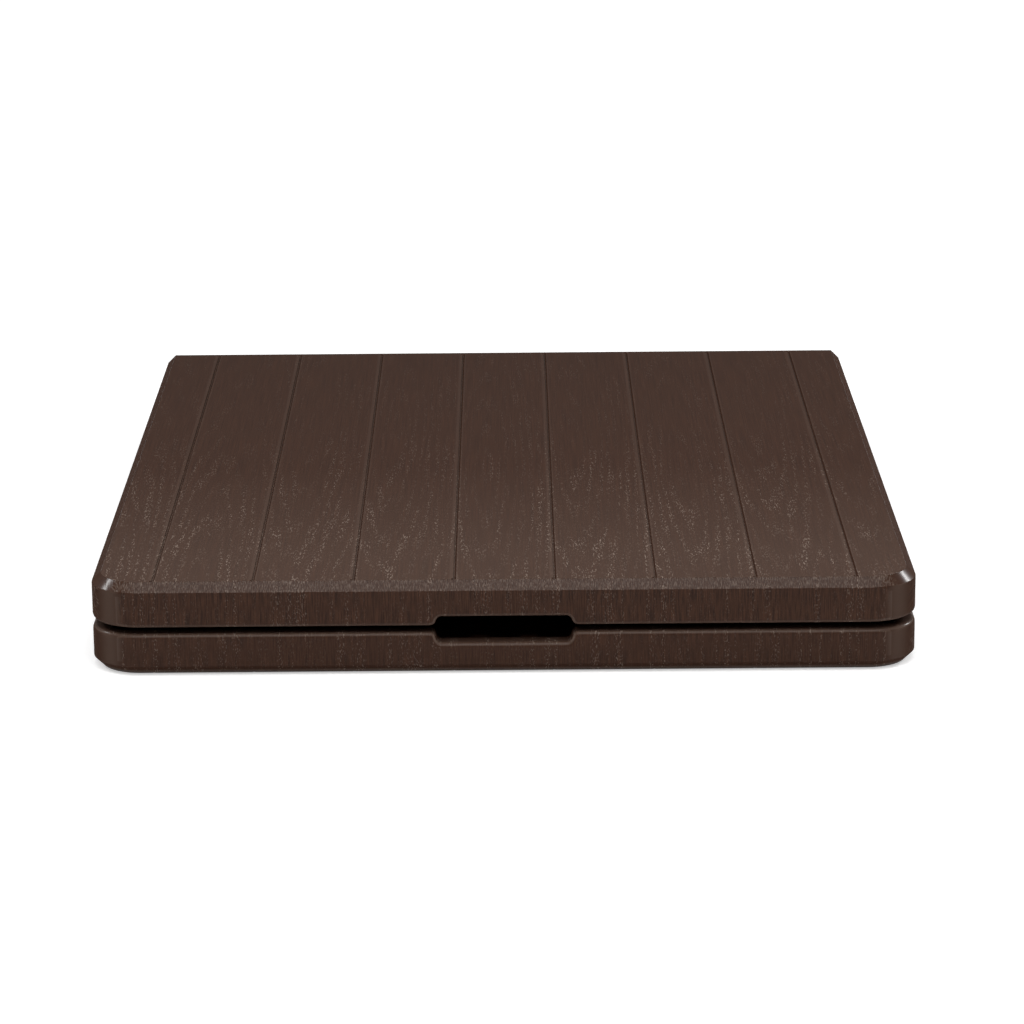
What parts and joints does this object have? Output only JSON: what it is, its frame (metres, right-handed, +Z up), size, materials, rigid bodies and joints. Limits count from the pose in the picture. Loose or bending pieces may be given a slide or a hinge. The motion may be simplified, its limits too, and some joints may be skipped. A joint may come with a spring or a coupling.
{
  "type": "folding garden table",
  "caption": "Folding garden table in brown moulded plastic, folded flat like a suitcase: plank grooves, bevelled edges, a hand hole in front, a hinge at the back, leg frames stowed inside.",
  "frame": {"origin": "centre of the folded table's bounding box, on the face it lies on", "axes": "+X to the right across the table, +Y from the hand hole towards the hinge, +Z up"},
  "size_m": [0.74, 0.908, 0.085],
  "materials": {
    "lower_panel": "satin wood grain",
    "upper_panel": "satin wood grain",
    "rail_paint": "powder coat",
    "tube_paint": "powder coat",
    "wire_zinc": "zinc plated",
    "fastener_zinc": "zinc plated",
    "hinge_steel": "zinc plated",
    "moulded_black": "moulded",
    "foot_plastic": "moulded",
    "bumper_rubber": "matt"
  },
  "bodies": {
    "lower_half": {"lower_tabletop": "lower_panel", "lower_rail_left": "rail_paint", "lower_rail_right": "rail_paint", "lower_rail_screws": "fastener_zinc", "lower_bushing_left": "moulded_black", "lower_bushing_right": "moulded_black", "lower_stay_bracket_left": "moulded_black", "lower_stay_bracket_right": "moulded_black", "lower_bracket_screws": "fastener_zinc", "lower_leg_clip_left": "moulded_black", "lower_leg_clip_right": "moulded_black", "lower_clip_screws": "fastener_zinc", "hinge_pin_left": "hinge_steel", "hinge_pin_right": "hinge_steel", "hinge_spacer_left": "hinge_steel", "hinge_spacer_right": "hinge_steel", "rim_bumpers": "bumper_rubber"},
    "lower_leg_frame": {"lower_leg_left": "tube_paint", "lower_leg_right": "tube_paint", "lower_crossbar": "tube_paint", "lower_foot_left": "foot_plastic", "lower_foot_right": "foot_plastic", "lower_stay_clip_left": "moulded_black", "lower_stay_clip_right": "moulded_black"},
    "lower_stay_wire": {"lower_stay": "wire_zinc"},
    "upper_half": {"upper_tabletop": "upper_panel", "upper_rail_left": "rail_paint", "upper_rail_right": "rail_paint", "upper_rail_screws": "fastener_zinc", "upper_bushing_left": "moulded_black", "upper_bushing_right": "moulded_black", "upper_stay_bracket_left": "moulded_black", "upper_stay_bracket_right": "moulded_black", "upper_bracket_screws": "fastener_zinc", "upper_leg_clip_left": "moulded_black", "upper_leg_clip_right": "moulded_black", "upper_clip_screws": "fastener_zinc"},
    "upper_leg_frame": {"upper_leg_left": "tube_paint", "upper_leg_right": "tube_paint", "upper_crossbar": "tube_paint", "upper_foot_left": "foot_plastic", "upper_foot_right": "foot_plastic", "upper_stay_clip_left": "moulded_black", "upper_stay_clip_right": "moulded_black"},
    "upper_stay_wire": {"upper_stay": "wire_zinc"}
  },
  "joints": [
    {"name": "fold", "type": "hinge", "parent": "lower_half", "child": "upper_half", "pos_m": [0, 0.4465, 0.0425], "axis": [-1, 0, 0], "range_deg": [0, 180]},
    {"name": "lower_legs_swing", "type": "hinge", "parent": "lower_half", "child": "lower_leg_frame", "pos_m": [0, -0.419, 0.02848], "axis": [1, 0, 0], "range_deg": [0, 90]},
    {"name": "upper_legs_swing", "type": "hinge", "parent": "upper_half", "child": "upper_leg_frame", "pos_m": [0, -0.419, 0.05652], "axis": [-1, 0, 0], "range_deg": [0, 90]},
    {"name": "lower_stay_swing", "type": "hinge", "parent": "lower_half", "child": "lower_stay_wire", "pos_m": [0, -0.279, 0.01748], "axis": [1, 0, 0], "range_deg": [0, 112.41]},
    {"name": "upper_stay_swing", "type": "hinge", "parent": "upper_half", "child": "upper_stay_wire", "pos_m": [0, -0.279, 0.06753], "axis": [-1, 0, 0], "range_deg": [0, 112.41]}
  ],
  "couplings": [
    {"joint": "lower_legs_swing", "follows": "fold", "ratio": 0.5},
    {"joint": "upper_legs_swing", "follows": "fold", "ratio": 0.5},
    {"joint": "lower_stay_swing", "follows": "fold", "ratio": 0.6245},
    {"joint": "upper_stay_swing", "follows": "fold", "ratio": 0.6245}
  ]
}
